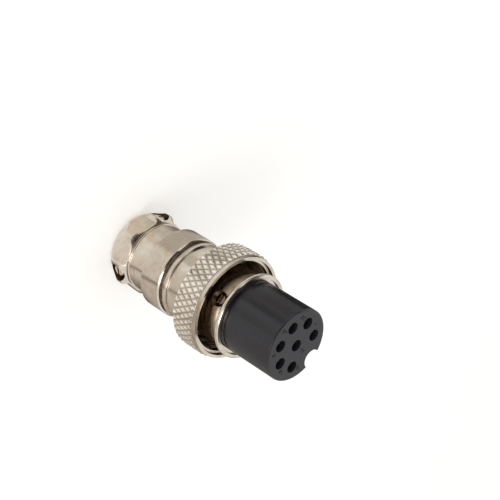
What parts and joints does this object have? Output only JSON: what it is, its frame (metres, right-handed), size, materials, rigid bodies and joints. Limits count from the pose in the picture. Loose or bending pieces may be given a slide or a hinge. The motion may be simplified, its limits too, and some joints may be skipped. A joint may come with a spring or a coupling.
{
  "type": "circular connector cable plug",
  "caption": "Cable plug of a circular connector: black keyed insert with socket contacts, knurled screw coupling ring, nickel-plated shells and a hexagonal cable clamp.",
  "frame": {"origin": "middle of the flat rear face of the cable clamp, on which the plug stands", "axes": "+Z along the plug's axis, out of the insert's face; +X from the axis towards the keyway"},
  "size_m": [0.0186, 0.0186, 0.0384],
  "materials": {
    "nickel_plate": "bright nickel plate on turned brass",
    "spring_steel": "plated spring steel",
    "black_moulding": "dark grey-black thermoset moulding, satin gloss",
    "screw_steel": "zinc-plated steel",
    "contact_silver": "silver plate on brass"
  },
  "bodies": {
    "plug": {"front_shell": "nickel_plate", "insert": "black_moulding", "insert_screw": "screw_steel", "contact_1": "contact_silver", "contact_2": "contact_silver", "contact_3": "contact_silver", "contact_4": "contact_silver", "contact_5": "contact_silver", "contact_6": "contact_silver", "contact_7": "contact_silver", "back_shell": "nickel_plate"},
    "retaining_ring": {"retaining_ring": "spring_steel"},
    "coupling_ring": {"coupling_ring": "nickel_plate"},
    "clamp_screw_1": {"clamp_screw_1": "screw_steel"},
    "clamp_screw_2": {"clamp_screw_2": "screw_steel"},
    "clamp_screw_3": {"clamp_screw_3": "screw_steel"}
  },
  "joints": [
    {"name": "coupling_spin", "type": "hinge", "parent": "plug", "child": "retaining_ring", "pos_m": [0, 0, 0.01485], "axis": [0, 0, 1], "continuous": true},
    {"name": "coupling_slide", "type": "slide", "parent": "retaining_ring", "child": "coupling_ring", "axis": [0, 0, 1], "range_m": [-0.00385, 0.0063]},
    {"name": "clamp_screw_1_travel", "type": "slide", "parent": "plug", "child": "clamp_screw_1", "axis": [-0.9994, 0.0349, 0], "range_m": [0, 0.0016]},
    {"name": "clamp_screw_2_travel", "type": "slide", "parent": "plug", "child": "clamp_screw_2", "axis": [0.4695, -0.8829, 0], "range_m": [0, 0.0016]},
    {"name": "clamp_screw_3_travel", "type": "slide", "parent": "plug", "child": "clamp_screw_3", "axis": [0.5299, 0.848, 0], "range_m": [0, 0.0016]}
  ]
}
